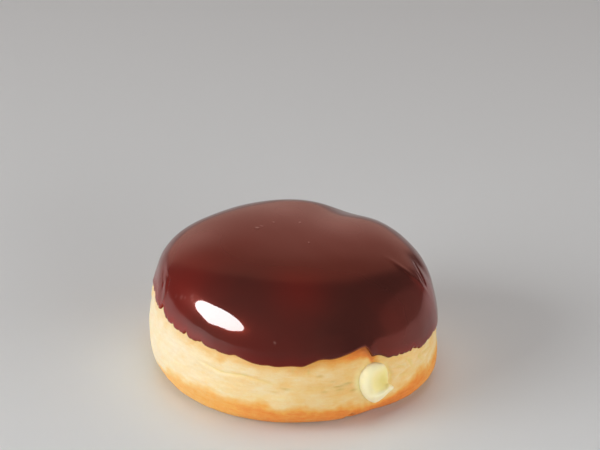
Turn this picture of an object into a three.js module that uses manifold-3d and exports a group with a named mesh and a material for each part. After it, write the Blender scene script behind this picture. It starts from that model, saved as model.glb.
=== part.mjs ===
// A Boston cream doughnut: a round yeast-raised bun with no hole, a chocolate icing cap with a
// thick ragged lower edge, and custard that fills the middle and squeezes out of a hole in the side.
// Millimetres, +Z up, standing on z = 0. Azimuths are in degrees round +Z from +X, so the front is -90.
import * as THREE from "three";
import { mergeVertices } from "three/addons/utils/BufferGeometryUtils.js";
import Module from "manifold-3d";

const wasm = await Module();
wasm.setup();

// ---- driving dimensions ----
const BUN_RADIUS = 45.3; // at its widest
const WIDEST_HEIGHT = 13.5; // of the widest ring above the table
const DOME_HEIGHT = 31.3; // of the crown above the widest ring
const BASE_RADIUS = 31.9; // of the flat underside
const DOME_POWER = 3; // 2 is an ellipse, more is a squarer shoulder
const FOOT_POWER = 3.4;
const CROWN_LEAN = [-0.032, 0.018]; // rise of the crown per millimetre along X and Y
// How far the outline is from round: share of the radius per [harmonic, cosine, sine].
const DOME_LOBES = [
  [2, -0.019, 0.009],
  [3, -0.019, 0.017],
];
const FOOT_LOBES = [
  [2, 0.041, -0.016],
  [3, 0.027, 0.005],
];

const ICING_THICKNESS = 0.95;
const ICING_BEAD = 1; // height of the rounded lower edge
const ICING_TAPER = { share: 0.35, reach: 10 }; // how much thinner it is at that edge, and from how far up
const GAP = 0.3; // between neighbouring pieces

const HOLE_AZIMUTH = -54.8; // of the filling hole
const HOLE_HEIGHT = 14.4;
const FACE_ELEVATION = 28; // the dollop's outline is given as it shows from the front, this many degrees up
// The dollop's outline: [angle, anticlockwise from the right, and radius].
const DOLLOP_OUTLINE = [
  [-3, 4.6],
  [10, 4.5],
  [35, 5.1],
  [55, 5.8],
  [70, 6.3],
  [90, 6.2],
  [118, 6.4],
  [140, 6.0],
  [165, 5.6],
  [190, 5.3],
  [212, 5.2],
  [245, 5.6],
  [270, 6.2],
  [292, 5.4],
  [310, 5.0],
  [330, 5.3],
  [343, 6.6],
  [351, 6.7],
];
const DOLLOP_BULGE = 5; // of the middle of its face
const DOLLOP_ROOT = 5; // depth of its rounded root in the bun
const DOLLOP_SINK = 0.3; // of its rim below the bun's skin
const SOFT_SIDE = { angle: 178, spread: 62, extra: 0.9 }; // where the dollop thins out, and how much
// Forms of the dollop's face: place right and up, slope, half length and half width. The hollow's depth is a
// share of the bulge.
const HOLLOW = { right: 2.5, up: 0.8, slope: 78, long: 3.3, wide: 2.6, depth: 0.72 };
const LIP = { right: 3, up: -2.85, slope: 29, long: 3.8, wide: 0.95, height: 1.7 }; // curled, along its foot
const RIM = { right: 4.1, up: 0.9, slope: 84, long: 2.6, wide: 0.6, height: 0.7 }; // right of the hollow
const CHANNEL_RADIUS = 3.6;
const POCKET_HEIGHT = 21; // of the pocket's centre above the table
const POCKET_SIZE = [23, 23, 7.5]; // half sizes

// Height of the icing's lower edge above the table: [azimuth, height], read round the bun.
const ICING_EDGE = [
  [-180, 24.4],
  [-156, 26.1],
  [-137, 24.2],
  [-118, 24.4],
  [-98, 23.2],
  [-87, 23.9],
  [-76, 26.2],
  [-61, 27.4],
  [-56, 23.9],
  [-47, 21.5],
  [-38, 20.5],
  [-26, 18.4],
  [-10, 19.3],
  [20, 22.4],
  [48, 19.8],
  [75, 23.6],
  [104, 21.2],
  [134, 24.8],
  [158, 22.6],
];
const EDGE_RIPPLES = [
  [13, 0.14, 0.4],
  [23, 0.12, 1.9],
  [37, 0.1, 3.1],
]; // [waves round the bun, height, phase]

// Dents and swellings of the bun: where each is, how wide across and up the bun, how far it stands out.
const SWELLINGS = [
  { azimuth: 60, height: 41, across: 8, up: 13, out: -1.4 }, // valley over the back
  { azimuth: 92, height: 42, across: 9, up: 8, out: 0.3 }, // hump beside that valley
  { azimuth: 4, height: 35, across: 3, up: 8, out: -0.6 }, // crease down the right side
  { azimuth: -9, height: 36, across: 3.5, up: 8, out: 0.35 }, // fold beside that crease
  { azimuth: -179, height: 28, across: 12, up: 6, out: -0.9 }, // the left side draws in under the icing
  { azimuth: -2, height: 26, across: 13, up: 7, out: -0.8 }, // and so does the right side
  { azimuth: -64, height: 25, across: 4.5, up: 3.2, out: 0.8 }, // lip over the filling hole
  { azimuth: -55.5, height: 23, across: 2, up: 3, out: -0.5 }, // nick beside that lip
  { azimuth: 138, height: 37, across: 10, up: 9, out: -0.8 }, // soft hollow at the back left
  { azimuth: -162, height: 16, across: 12, up: 5, out: 0.4 }, // full side at the left
  { azimuth: -140, height: 3.5, across: 22, up: 4, out: -0.9 }, // slack foot at the front left
  { azimuth: -15, height: 6, across: 14, up: 5, out: 0.6 }, // full foot at the right
  { azimuth: -100, height: 16, across: 12, up: 3.5, out: -0.4 }, // shallow trough along the front
];

// ---- mesh sizes ----
const BUN_COLUMNS = 90;
const BUN_RINGS = 22;
const ICING_COLUMNS = 120;
const ICING_EDGE_STEPS = [0, 0.2, 0.6, 1.2, 3]; // distances up from the lower edge
const ICING_RINGS = 11; // above those steps
const ICING_INNER_RINGS = 11;
const DOLLOP_COLUMNS = 48;
const DOLLOP_FACE_RINGS = 11;
const DOLLOP_ROOT_RINGS = 5;
const POCKET_COLUMNS = 28;
const POCKET_RINGS = 12;

// ---- the bun's surface ----
const radians = THREE.MathUtils.degToRad;
const bell = (distance, width) => Math.exp(-((distance / width) ** 2));
const wave = (azimuth, lobes) =>
  lobes.reduce((sum, [n, c, s]) => sum + c * Math.cos(n * azimuth) + s * Math.sin(n * azimuth), 1);

// A point of the smooth bun. t is -1 at the rim of the base, 0 at the widest ring and 1 at the crown.
function smoothBun(t, azimuth) {
  const angle = (Math.min(Math.abs(t), 1) * Math.PI) / 2;
  const power = t >= 0 ? DOME_POWER : FOOT_POWER;
  const across = Math.max(Math.cos(angle), 0) ** (2 / power);
  const along = Math.sin(angle) ** (2 / power);
  const share = 0.5 + (Math.sign(t) * Math.sin(angle)) / 2; // of the dome's lobes, the rest are the foot's
  const lobes = wave(azimuth, DOME_LOBES) * share + wave(azimuth, FOOT_LOBES) * (1 - share);
  const mean = t >= 0 ? BUN_RADIUS * across : BASE_RADIUS + (BUN_RADIUS - BASE_RADIUS) * across;
  const x = mean * lobes * Math.cos(azimuth);
  const y = mean * lobes * Math.sin(azimuth);
  const z =
    t >= 0
      ? WIDEST_HEIGHT + along * (DOME_HEIGHT + CROWN_LEAN[0] * x + CROWN_LEAN[1] * y)
      : WIDEST_HEIGHT * (1 - along);
  return new THREE.Vector3(x, y, z);
}

function bunNormal(t, azimuth) {
  if (t > 0.999) return new THREE.Vector3(0, 0, 1);
  const step = 0.002;
  const along = smoothBun(Math.min(t + step, 1), azimuth).sub(smoothBun(t - step, azimuth));
  const round = smoothBun(t, azimuth + step).sub(smoothBun(t, azimuth - step));
  return round.cross(along).normalize();
}

// The t at which the smooth bun's side has this height.
function tAtHeight(height, azimuth) {
  let [low, high] = [-1, 1];
  for (let i = 0; i < 40; i++) {
    const middle = (low + high) / 2;
    if (smoothBun(middle, azimuth).z < height) low = middle;
    else high = middle;
  }
  return low;
}

const swellings = SWELLINGS.map((s) => {
  const azimuth = radians(s.azimuth);
  return {
    ...s,
    centre: smoothBun(tAtHeight(s.height, azimuth), azimuth),
    sideways: new THREE.Vector3(-Math.sin(azimuth), Math.cos(azimuth), 0),
  };
});

// How far the dents and swellings move the surface outwards at a point of the smooth bun.
function swelling(point) {
  const out = swellings.reduce((sum, s) => {
    const away = point.clone().sub(s.centre);
    const across = away.dot(s.sideways);
    const up = Math.sqrt(Math.max(away.lengthSq() - across ** 2, 0));
    return sum + s.out * bell(across, s.across) * bell(up, s.up);
  }, 0);
  return out * THREE.MathUtils.smoothstep(point.z, 1, 6); // none on the flat base
}

// A point of the bun, or one that stands proud of it.
function bunPoint(t, azimuth, proud = 0) {
  const point = smoothBun(t, azimuth);
  return point.addScaledVector(bunNormal(t, azimuth), swelling(point) + proud);
}

// Distance down the bun's front from the crown, for t from 1 to -1, so that rings can be evenly spaced.
const ARC_STEPS = 400;
const arc = [0];
const arcT = (i) => 1 - (2 * i) / ARC_STEPS;
const frontPoint = (i) => smoothBun(arcT(i), radians(-90));
for (let i = 1; i <= ARC_STEPS; i++) arc.push(arc[i - 1] + frontPoint(i).distanceTo(frontPoint(i - 1)));

function tAtArc(distance) {
  const i = arc.findIndex((d) => d >= distance);
  if (i <= 0) return i < 0 ? -1 : 1;
  return arcT(i - 1 + (distance - arc[i - 1]) / (arc[i] - arc[i - 1]));
}
function arcAtT(t) {
  const step = ((1 - t) * ARC_STEPS) / 2;
  const i = Math.min(Math.floor(step), ARC_STEPS - 1);
  return THREE.MathUtils.lerp(arc[i], arc[i + 1], step - i);
}

// ---- the icing's lower edge ----
function edgeHeight(degrees) {
  const n = ICING_EDGE.length;
  let i = n - 1;
  while (i > 0 && ICING_EDGE[i][0] > degrees) i--;
  const [from, low] = ICING_EDGE[i];
  const [next, high] = ICING_EDGE[(i + 1) % n];
  const share = (degrees - from) / ((next - from + 360) % 360);
  const smooth = low + (high - low) * THREE.MathUtils.smootherstep(share, 0, 1);
  return EDGE_RIPPLES.reduce(
    (sum, [waves, size, phase]) => sum + size * Math.sin(waves * radians(degrees) + phase),
    smooth,
  );
}

// ---- closed meshes and booleans ----
// Rings of points with a point at each end, as a closed geometry facing out when the rings run downwards.
function closedRings(top, rings, bottom) {
  const columns = rings[0].length;
  const points = [top, ...rings.flat(), bottom];
  const index = [];
  const at = (ring, column) => 1 + ring * columns + (column % columns);
  for (let c = 0; c < columns; c++) {
    index.push(0, at(0, c), at(0, c + 1));
    for (let r = 0; r + 1 < rings.length; r++) {
      index.push(at(r, c), at(r + 1, c), at(r + 1, c + 1));
      index.push(at(r, c), at(r + 1, c + 1), at(r, c + 1));
    }
    index.push(points.length - 1, at(rings.length - 1, c + 1), at(rings.length - 1, c));
  }
  return new THREE.BufferGeometry().setFromPoints(points).setIndex(index);
}

function solid(geometry) {
  const bare = geometry.clone().deleteAttribute("normal").deleteAttribute("uv");
  const merged = mergeVertices(bare, 1e-4);
  return new wasm.Manifold(
    new wasm.Mesh({
      numProp: 3,
      vertProperties: merged.attributes.position.array,
      triVerts: new Uint32Array(merged.index.array),
    }),
  );
}

function geometryOf(manifold) {
  const mesh = manifold.getMesh();
  return new THREE.BufferGeometry()
    .setAttribute("position", new THREE.BufferAttribute(mesh.vertProperties, 3))
    .setIndex(new THREE.BufferAttribute(mesh.triVerts, 1));
}

const azimuths = (count) => Array.from({ length: count }, (_, i) => radians((i * 360) / count));

// ---- bun ----
function bunGeometry() {
  const rings = [];
  for (let i = 1; i <= BUN_RINGS; i++) {
    const t = i === BUN_RINGS ? -1 : tAtArc((arc[ARC_STEPS] * i) / BUN_RINGS);
    rings.push(azimuths(BUN_COLUMNS).map((a) => bunPoint(t, a)));
  }
  return closedRings(bunPoint(1, 0), rings, new THREE.Vector3(0, 0, 0));
}

// ---- icing ----
// How far the icing's outer face stands off the bun, by the distance up from its lower edge.
function icingStandoff(distance) {
  const rounded = Math.sqrt(1 - (1 - Math.min(distance / ICING_BEAD, 1)) ** 2);
  const taper = ICING_TAPER.share * (1 - THREE.MathUtils.smoothstep(distance, 0, ICING_TAPER.reach));
  return GAP + ICING_THICKNESS * (1 - taper) * rounded;
}

function icingRing(distanceAt, standoffAt) {
  return azimuths(ICING_COLUMNS).map((a) => {
    const degrees = THREE.MathUtils.euclideanModulo(THREE.MathUtils.radToDeg(a) + 180, 360) - 180;
    const edge = arcAtT(tAtHeight(edgeHeight(degrees), a));
    const distance = distanceAt(edge);
    return bunPoint(tAtArc(edge - distance), a, standoffAt(distance));
  });
}

function icingGeometry() {
  const lastStep = ICING_EDGE_STEPS.at(-1);
  const outer = [];
  for (let i = 1; i < ICING_RINGS; i++)
    outer.push(icingRing((edge) => edge - ((edge - lastStep) * i) / ICING_RINGS, icingStandoff));
  for (const step of ICING_EDGE_STEPS.toReversed()) outer.push(icingRing(() => step, icingStandoff));
  const inner = [];
  for (let i = ICING_INNER_RINGS - 1; i > 0; i--)
    inner.push(icingRing((edge) => edge - (edge * i) / ICING_INNER_RINGS, () => GAP));
  return closedRings(
    bunPoint(1, 0, GAP + ICING_THICKNESS),
    [...outer, ...inner],
    bunPoint(1, 0, GAP),
  );
}

// ---- custard ----
const holeDirection = new THREE.Vector3(Math.cos(radians(HOLE_AZIMUTH)), Math.sin(radians(HOLE_AZIMUTH)), 0);
const holePoint = bunPoint(tAtHeight(HOLE_HEIGHT, radians(HOLE_AZIMUTH)), radians(HOLE_AZIMUTH));

// The way the dollop faces, and right and up as seen from there.
const faceOut = new THREE.Vector3(0, -Math.cos(radians(FACE_ELEVATION)), Math.sin(radians(FACE_ELEVATION)));
const faceRight = new THREE.Vector3(1, 0, 0);
const faceUp = faceOut.clone().cross(faceRight);

// Radius of the dollop's outline at this angle, its corners rounded off.
function outlineRadius(degrees) {
  const n = DOLLOP_OUTLINE.length;
  const [first] = DOLLOP_OUTLINE[0];
  const at = (angle) => {
    const place = THREE.MathUtils.euclideanModulo(angle - first, 360) + first;
    let i = n - 1;
    while (DOLLOP_OUTLINE[i][0] > place) i--;
    const [from, radius] = DOLLOP_OUTLINE[i];
    const [next, nextRadius] = DOLLOP_OUTLINE[(i + 1) % n];
    const share = (place - from) / THREE.MathUtils.euclideanModulo(next - from, 360);
    return THREE.MathUtils.lerp(radius, nextRadius, share);
  };
  const samples = [-5, -4, -3, -2, -1, 0, 1, 2, 3, 4, 5];
  return samples.reduce((sum, turn) => sum + at(degrees + turn), 0) / samples.length;
}

// A long soft form on the dollop's face, 1 in its middle.
function faceForm(right, up, form) {
  const [cos, sin] = [Math.cos(radians(form.slope)), Math.sin(radians(form.slope))];
  const along = (right - form.right) * cos + (up - form.up) * sin;
  const across = (up - form.up) * cos - (right - form.right) * sin;
  return bell(along, form.long) * bell(across, form.wide);
}

// The dollop outside the hole, as a dome over its outline. The outline lies in the bun's skin, and a rounded
// root fills the hole. The dome is hollowed on its right, over a lip along its foot.
function dollopGeometry(grow) {
  const sideways = new THREE.Vector3(0, 0, 1).cross(holeDirection);
  const facing = faceOut.dot(holeDirection);
  const point = (polar, turn) => {
    const degrees = THREE.MathUtils.radToDeg(turn);
    const reach = Math.sin(polar) * (outlineRadius(degrees) + grow);
    const [right, up] = [reach * Math.cos(turn), reach * Math.sin(turn)];
    const flat = new THREE.Vector3().addScaledVector(faceRight, right).addScaledVector(faceUp, up);
    // Each point slides along the view until it lies in the bun's skin.
    const plane = -flat.dot(holeDirection) / facing;
    const across = flat.dot(sideways) + plane * faceOut.dot(sideways);
    const slide = plane - across ** 2 / (2 * BUN_RADIUS) / facing - DOLLOP_SINK;
    const [front, back] = [Math.max(Math.cos(polar), 0), Math.max(-Math.cos(polar), 0)];
    const fromSoftSide = THREE.MathUtils.euclideanModulo(degrees - SOFT_SIDE.angle + 180, 360) - 180;
    const dome = front ** (1 + SOFT_SIDE.extra * bell(fromSoftSide, SOFT_SIDE.spread));
    const edges = LIP.height * faceForm(right, up, LIP) + RIM.height * faceForm(right, up, RIM);
    const rise =
      dome * (DOLLOP_BULGE + grow) * (1 - HOLLOW.depth * faceForm(right, up, HOLLOW)) +
      edges * (1 - THREE.MathUtils.smoothstep(back, 0, 0.4));
    return holePoint
      .clone()
      .add(flat)
      .addScaledVector(faceOut, slide + rise)
      .addScaledVector(holeDirection, -back * (DOLLOP_ROOT + grow));
  };
  const rings = [];
  for (let r = 1; r < DOLLOP_FACE_RINGS + DOLLOP_ROOT_RINGS; r++) {
    const onRoot = Math.max(r - DOLLOP_FACE_RINGS, 0) / DOLLOP_ROOT_RINGS;
    const polar = ((Math.min(r / DOLLOP_FACE_RINGS, 1) + onRoot) * Math.PI) / 2;
    rings.push(azimuths(DOLLOP_COLUMNS).map((turn) => point(polar, turn)));
  }
  return closedRings(point(0, 0), rings, point(Math.PI, 0));
}

// The custard that the hole and the middle of the bun hold.
function pocketGeometry(grow) {
  return new THREE.SphereGeometry(1, POCKET_COLUMNS, POCKET_RINGS)
    .rotateX(Math.PI / 2)
    .scale(POCKET_SIZE[0] + grow, POCKET_SIZE[1] + grow, POCKET_SIZE[2] + grow)
    .translate(0, 0, POCKET_HEIGHT);
}

function channelGeometry(grow) {
  const inner = new THREE.Vector3(0, 0, POCKET_HEIGHT).addScaledVector(holeDirection, POCKET_SIZE[0] / 2);
  const line = new THREE.LineCurve3(inner, holePoint);
  const radius = CHANNEL_RADIUS + grow;
  const section = new THREE.Shape().absarc(0, 0, radius, 0, 2 * Math.PI);
  const options = { extrudePath: line, steps: 1, curveSegments: 10, bevelEnabled: false };
  return new THREE.ExtrudeGeometry(section, options);
}

const custardSolid = (grow) =>
  solid(dollopGeometry(grow)).add(solid(channelGeometry(grow))).add(solid(pocketGeometry(grow)));

// ---- the doughnut ----
const dough = new THREE.Mesh(
  geometryOf(solid(bunGeometry()).subtract(custardSolid(GAP))),
  new THREE.MeshStandardMaterial({ color: 0xf0cf8e, roughness: 0.75, metalness: 0 }),
);
dough.name = "dough";

const icing = new THREE.Mesh(
  icingGeometry(),
  new THREE.MeshStandardMaterial({ color: 0x3f1a16, roughness: 0.12, metalness: 0 }),
);
icing.name = "chocolate_icing";

const custard = new THREE.Mesh(
  geometryOf(custardSolid(0)),
  new THREE.MeshStandardMaterial({ color: 0xf4e7ae, roughness: 0.35, metalness: 0 }),
);
custard.name = "custard";

const doughnut = new THREE.Group();
doughnut.add(dough, icing, custard);

// The origin is under the middle of the whole doughnut, on the table.
const middle = new THREE.Box3().setFromObject(doughnut, true).getCenter(new THREE.Vector3());
doughnut.position.set(-middle.x, -middle.y, 0);

export default doughnut;
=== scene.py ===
"""A Boston cream doughnut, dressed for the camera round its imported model.

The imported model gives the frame: metres, +Z up, standing on z = 0, front towards -Y. The shape functions
work in millimetres round the bun's own upright axis, and make_piece() puts their points into the frame.
Azimuths are in degrees round +Z from +X, so the front is -90. Heights are above the table.
"""

import math

import bpy
import numpy as np
from mathutils import Matrix, Vector


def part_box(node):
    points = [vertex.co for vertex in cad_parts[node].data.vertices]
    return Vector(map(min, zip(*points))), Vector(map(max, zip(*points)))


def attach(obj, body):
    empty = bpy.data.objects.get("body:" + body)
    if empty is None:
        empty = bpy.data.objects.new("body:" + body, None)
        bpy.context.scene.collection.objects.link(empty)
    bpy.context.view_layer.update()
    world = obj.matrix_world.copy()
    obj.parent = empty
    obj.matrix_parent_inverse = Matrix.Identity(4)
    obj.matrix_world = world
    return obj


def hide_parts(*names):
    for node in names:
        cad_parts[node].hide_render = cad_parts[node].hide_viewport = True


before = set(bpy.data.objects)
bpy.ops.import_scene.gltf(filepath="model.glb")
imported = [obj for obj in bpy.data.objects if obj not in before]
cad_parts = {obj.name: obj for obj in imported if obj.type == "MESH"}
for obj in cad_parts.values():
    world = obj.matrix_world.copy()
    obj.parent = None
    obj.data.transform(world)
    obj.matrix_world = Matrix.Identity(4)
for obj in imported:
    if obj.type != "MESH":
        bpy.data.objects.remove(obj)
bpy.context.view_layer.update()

MM = 0.001

# ---- the bun's form: that of the solids, moved by up to 1 mm in places ----
BUN_RADIUS = 45.3  # at its widest
WIDEST_HEIGHT = 13.5  # of the widest ring above the table
DOME_HEIGHT = 31.3  # of the crown above the widest ring
BASE_RADIUS = 31.9  # of the flat underside
DOME_POWER = 3.0  # 2 is an ellipse, more is a squarer shoulder
FOOT_POWER = 3.4
CROWN_LEAN = (-0.032, 0.018)  # rise of the crown per millimetre along X and Y
DOME_LOBES = ((2, -0.019, 0.009), (3, -0.019, 0.017))  # harmonic, cosine, sine shares of the radius
FOOT_LOBES = ((2, 0.041, -0.016), (3, 0.027, 0.005))

# Dents and swellings: azimuth, height, width across, width up the bun, how far it stands out.
SWELLINGS = (
    (60, 41, 8, 13, -1.4),  # valley over the back
    (92, 42, 9, 8, 0.3),  # hump beside that valley
    (-175, 25.5, 9, 2.6, 0.9),  # the left side is fuller just under the icing's edge
    (3, 34, 3, 5, -0.4),  # crease down the right side
    (-10, 35, 3.5, 5, 0.3),  # fold beside that crease
    (-179, 28, 12, 6, -0.9),  # the left side draws in behind the icing's edge
    (-2, 26, 13, 7, -0.8),  # and so does the right side
    (-64, 25, 4.5, 3.2, 0.8),  # lip over the filling hole
    (-55.5, 23, 2, 3, -0.5),  # nick beside that lip
    (138, 37, 10, 9, -0.8),  # soft hollow at the back left
    (-162, 16, 12, 5, 0.4),  # full side at the left
    (-140, 3.5, 22, 4, -0.9),  # slack foot at the front left
    (-15, 6, 14, 5, 0.6),  # full foot at the right
    (-100, 16, 12, 3.5, -0.4),  # shallow trough along the front
)

# ---- the icing ----
ICING_STANDOFF = 1.25  # of its outer face from the bun
ICING_INNER = -0.15  # of its inner face from the bun; it lies a little inside the dough
ICING_BEAD = 1.0  # height of the rounded lower edge
ICING_TAPER = (0.3, 10.0)  # share by which the icing thins towards that edge, over this height
ICING_EDGE = (
    (-180, 26.6), (-169, 26.8), (-158.5, 25.0), (-150, 25.1), (-137, 24.2), (-118, 24.4), (-98, 23.2),
    (-87, 23.9), (-76, 25.5), (-61, 27.4), (-56, 23.9), (-47, 21.1), (-38, 20.5), (-26, 18.3),
    (-10, 18.4), (20, 22.4), (48, 19.8), (75, 23.6), (104, 21.2), (134, 24.8), (158, 22.6),
)  # azimuth and height of the lower edge
EDGE_RIPPLES = ((13, 0.14, 0.4), (23, 0.12, 1.9), (37, 0.1, 3.1))  # waves round the bun, height, phase

# ---- the custard ----
HOLE_AZIMUTH = -54.8
HOLE_HEIGHT = 14.4
FACE_ELEVATION = 28.0  # degrees; the dollop's outline is given as it shows from the front at this height
DOLLOP_OUTLINE = (
    (-3, 3.9), (10, 3.8), (35, 4.4), (55, 5.4), (70, 6.2), (90, 6.2), (118, 6.4), (140, 6.0), (165, 5.6),
    (190, 5.3), (212, 5.2), (245, 5.6), (270, 6.2), (292, 5.4), (310, 5.0), (330, 5.0), (343, 5.9),
    (351, 5.9),
)  # angle, anticlockwise from the right, and radius
DOLLOP_BULGE = 5.0  # of the middle of its face
DOLLOP_ROOT = 5.0  # depth of its rounded root in the bun
DOLLOP_SINK = 0.3  # of its rim below the bun's skin
SOFT_SIDE = (158, 76, 0.9)  # angle and reach of the side where the dollop thins out, and how much
CHANNEL_RADIUS = 3.6
POCKET_HEIGHT = 21  # of its middle
POCKET_SIZE = (23, 23, 7.5)  # half sizes
CUT_OVERLAP = 0.12  # by which the custard reaches into the dough, so that no gap shows


# ---- the bun's surface ----
def unit(vectors):
    """The vectors, each made one unit long."""
    return vectors / np.maximum(np.linalg.norm(vectors, axis=-1, keepdims=True), 1e-12)


def bell(distance, width):
    """1 at no distance, 0.37 at this width and fading on to 0."""
    return np.exp(-((distance / width) ** 2))


def smoothstep(value, low, high):
    """0 beyond low, 1 beyond high and a soft step between them. Low may be the larger of the two."""
    share = np.clip((value - low) / (high - low), 0, 1)
    return share * share * (3 - 2 * share)


def wrap(degrees):
    """Degrees from -180 to 180."""
    return (degrees + 180) % 360 - 180


def azimuth_degrees(points):
    return np.degrees(np.arctan2(points[..., 1], points[..., 0]))


def by_azimuth(degrees, table):
    """Reads a table of azimuths and values at these azimuths."""
    return np.interp(degrees, *zip(*table))


def lobes(azimuth, table):
    """How much wider than a circle the bun is at these azimuths."""
    waves = (cosine * np.cos(n * azimuth) + sine * np.sin(n * azimuth) for n, cosine, sine in table)
    return 1 + sum(waves)


def smooth_bun(level, azimuth):
    """Points of the smooth bun. Level is -1 at the rim of its base, 0 at its widest ring, 1 at its crown."""
    level, azimuth = np.broadcast_arrays(level, azimuth)
    angle = np.minimum(np.abs(level), 1) * np.pi / 2
    power = np.where(level >= 0, DOME_POWER, FOOT_POWER)
    across = np.maximum(np.cos(angle), 0) ** (2 / power)
    along = np.sin(angle) ** (2 / power)
    share = 0.5 + np.sign(level) * np.sin(angle) / 2
    outline = lobes(azimuth, DOME_LOBES) * share + lobes(azimuth, FOOT_LOBES) * (1 - share)
    mean = np.where(level >= 0, BUN_RADIUS * across, BASE_RADIUS + (BUN_RADIUS - BASE_RADIUS) * across)
    x = mean * outline * np.cos(azimuth)
    y = mean * outline * np.sin(azimuth)
    rise = DOME_HEIGHT + CROWN_LEAN[0] * x + CROWN_LEAN[1] * y
    z = np.where(level >= 0, WIDEST_HEIGHT + along * rise, WIDEST_HEIGHT * (1 - along))
    return np.stack([x, y, z], axis=-1)


def bun_normal(level, azimuth):
    """The outward direction of the smooth bun's surface."""
    step = 0.002
    level, azimuth = np.broadcast_arrays(level, azimuth)
    along = smooth_bun(np.minimum(level + step, 1), azimuth) - smooth_bun(level - step, azimuth)
    sideways = smooth_bun(level, azimuth + step) - smooth_bun(level, azimuth - step)
    normal = unit(np.cross(sideways, along))
    normal[level > 0.999] = (0, 0, 1)
    return normal


HALVINGS = 40  # of the search for a height on the bun


def level_at_height(height, azimuth):
    """The level of smooth_bun() at these heights, found by halving."""
    height, azimuth = np.broadcast_arrays(height, azimuth)
    low, high = np.full(height.shape, -1.0), np.full(height.shape, 1.0)
    for _ in range(HALVINGS):
        middle = (low + high) / 2
        under = smooth_bun(middle, azimuth)[..., 2] < height
        low, high = np.where(under, middle, low), np.where(under, high, middle)
    return low


def bun_place(degrees, height, proud=0.0):
    """Points at these azimuths and heights, on the smooth bun or this far proud of it."""
    azimuth = np.radians(degrees)
    level = level_at_height(height, azimuth)
    return smooth_bun(level, azimuth) + bun_normal(level, azimuth) * proud


def spots(points, table):
    """The relief of soft spots: azimuth, height, half width, half height, how far each stands out."""
    out = np.zeros(points.shape[:-1])
    for degrees, height, wide, high, proud in table:
        azimuth = math.radians(degrees)
        away = points - bun_place(degrees, height)
        across = away @ np.array((-math.sin(azimuth), math.cos(azimuth), 0))
        up = np.sqrt(np.maximum((away**2).sum(axis=-1) - across**2, 0))
        out += proud * bell(across, wide) * bell(up, high)
    return out


def bun_points(level, azimuth, proud=0.0):
    """Points of the bun with its dents and swellings, which fade out at the foot."""
    points = smooth_bun(level, azimuth)
    move = spots(points, SWELLINGS) * smoothstep(points[..., 2], 1, 6) + proud
    return points + bun_normal(level, azimuth) * move[..., None]


# Distance down the front from the crown, so that rings can be evenly spaced.
ARC_SHARES = np.linspace(1, -1, 2001)
ARC_LEVELS = np.sign(ARC_SHARES) * np.abs(ARC_SHARES) ** 1.5
ARC_POINTS = smooth_bun(ARC_LEVELS, -np.pi / 2)
ARC = np.concatenate([[0], np.cumsum(np.linalg.norm(np.diff(ARC_POINTS, axis=0), axis=-1))])


def level_at_arc(distance):
    return np.interp(distance, ARC, ARC_LEVELS)


def arc_at_level(level):
    return np.interp(-level, -ARC_LEVELS, ARC)


# ---- relief ----
def ripples(points, wavelength, seed, flat=1.0, count=24):
    """A smooth random field of about unit size, its patches wider than high by the factor flat."""
    random = np.random.default_rng(seed)
    directions = unit(random.normal(size=(count, 3)))
    lengths = wavelength * random.uniform(0.7, 1.5, count)
    waves = directions * (2 * np.pi / lengths)[:, None] * (1, 1, flat)
    phases = random.uniform(0, 2 * np.pi, count)
    return np.sin(points @ waves.T + phases).sum(axis=-1) * math.sqrt(2 / count)


def near_route(points, route, steps=24):
    """Each point's distance from a route over the bun, and how far along, from 0 to 1.

    The route is a list of azimuths and heights.
    """
    ends = np.array(route, float)
    shares = np.linspace(0, 1, steps)
    knots = np.linspace(0, 1, len(ends))
    places = bun_place(np.interp(shares, knots, ends[:, 0]), np.interp(shares, knots, ends[:, 1]))
    nearest = np.full(points.shape[:-1], np.inf)
    share = np.zeros(points.shape[:-1])
    for start, end, begin in zip(places, places[1:], shares):
        line = end - start
        along = np.clip(((points - start) @ line) / (line @ line), 0, 1)
        distance = np.linalg.norm(points - start - along[..., None] * line, axis=-1)
        share = np.where(distance < nearest, begin + along * shares[1], share)
        nearest = np.minimum(distance, nearest)
    return nearest, share


def routes(points, table):
    """The relief of creases and folds: route, half width, how far each stands out in its middle."""
    out = np.zeros(points.shape[:-1])
    for route, width, proud in table:
        distance, share = near_route(points, route)
        out += proud * bell(distance, width) * np.sqrt(np.sin(np.pi * np.clip(share, 0.02, 0.98)))
    return out


# ---- meshes ----
def azimuths(count):
    """Evenly spaced angles once round, in radians."""
    return np.radians(np.arange(count) * 360 / count)


def closed_rings(top, rings, bottom):
    """Points and faces of a closed skin: rings of points from the top down, and a point at each end."""
    count, columns = rings.shape[:2]
    points = np.vstack([top[None], rings.reshape(-1, 3), bottom[None]])
    column = np.arange(columns)
    after = (column + 1) % columns
    start = 1 + np.arange(count)[:, None] * columns
    here, there = start + column, start + after
    faces = list(zip([0] * columns, here[0].tolist(), there[0].tolist()))
    walls = np.stack([here[:-1], here[1:], there[1:], there[:-1]], axis=-1)
    faces += walls.reshape(-1, 4).tolist()
    faces += list(zip([len(points) - 1] * columns, there[-1].tolist(), here[-1].tolist()))
    return points, faces


def plain_mesh(name, points, faces):
    """A new object with this mesh, in the scene."""
    mesh = bpy.data.meshes.new(name)
    mesh.from_pydata(points.tolist(), [], faces)
    mesh.update()
    piece = bpy.data.objects.new(name, mesh)
    bpy.context.scene.collection.objects.link(piece)
    return piece


def boolean(piece, other, operation):
    """Joins or cuts piece with other, which is then removed."""
    modifier = piece.modifiers.new("boolean", "BOOLEAN")
    modifier.operation = operation
    modifier.solver = "MANIFOLD"
    modifier.object = other
    evaluated = piece.evaluated_get(bpy.context.evaluated_depsgraph_get())
    mesh = bpy.data.meshes.new_from_object(evaluated)
    piece.modifiers.clear()
    old, piece.data = piece.data, mesh
    mesh.name = old.name
    bpy.data.meshes.remove(old)
    bpy.data.meshes.remove(other.data)
    return piece


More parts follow.
